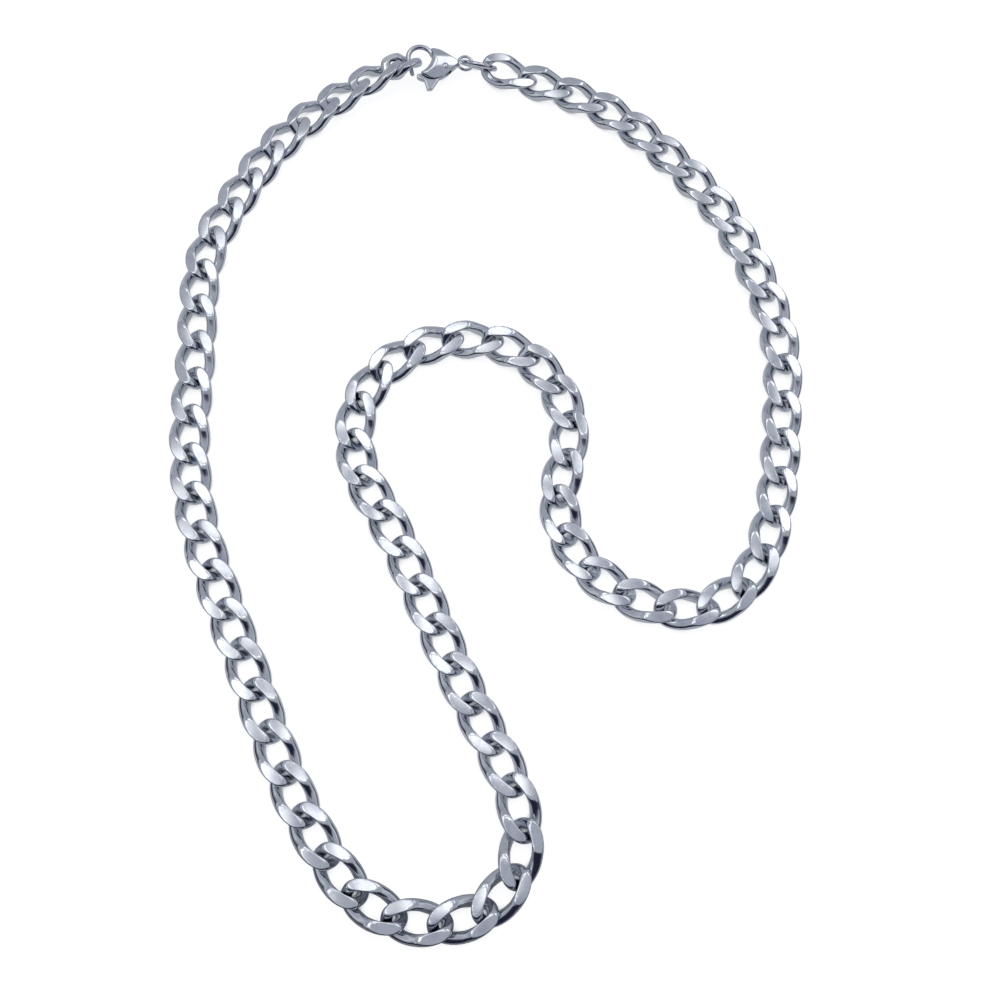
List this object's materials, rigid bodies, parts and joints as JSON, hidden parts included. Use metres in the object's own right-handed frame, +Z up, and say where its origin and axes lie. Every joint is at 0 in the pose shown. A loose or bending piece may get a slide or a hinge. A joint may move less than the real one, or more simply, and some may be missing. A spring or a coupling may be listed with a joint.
{
  "type": "curb chain necklace",
  "caption": "Flat curb chain necklace of polished steel, a closed loop laid in an S curve and fastened by a lobster clasp with a sprung lever and a jump ring.",
  "frame": {"origin": "on the surface that the necklace lies on, under the middle of its bounding box", "axes": "+Z up from the surface, +Y along the laid necklace's length towards its clasp, +X across it"},
  "size_m": [0.114, 0.1681, 0.0063],
  "materials": {
    "link_steel": "polished",
    "ring_steel": "polished",
    "clasp_steel": "polished",
    "lever_steel": "polished",
    "pin_steel": "polished"
  },
  "bodies": {
    "necklace": {"curb_chain_right": "link_steel", "curb_chain_left": "link_steel", "jump_ring": "ring_steel", "clasp_body": "clasp_steel", "clasp_pin": "pin_steel"},
    "lever": {"clasp_lever": "lever_steel"}
  },
  "joints": [
    {"name": "lever_hinge", "type": "hinge", "parent": "necklace", "child": "lever", "pos_m": [-0.00915, 0.07944, 0.00222], "axis": [-0.0974, 0.1262, -0.9872], "range_deg": [0, 15], "stiffness_Nm_per_rad": 0.004, "springref_deg": -11.46}
  ]
}
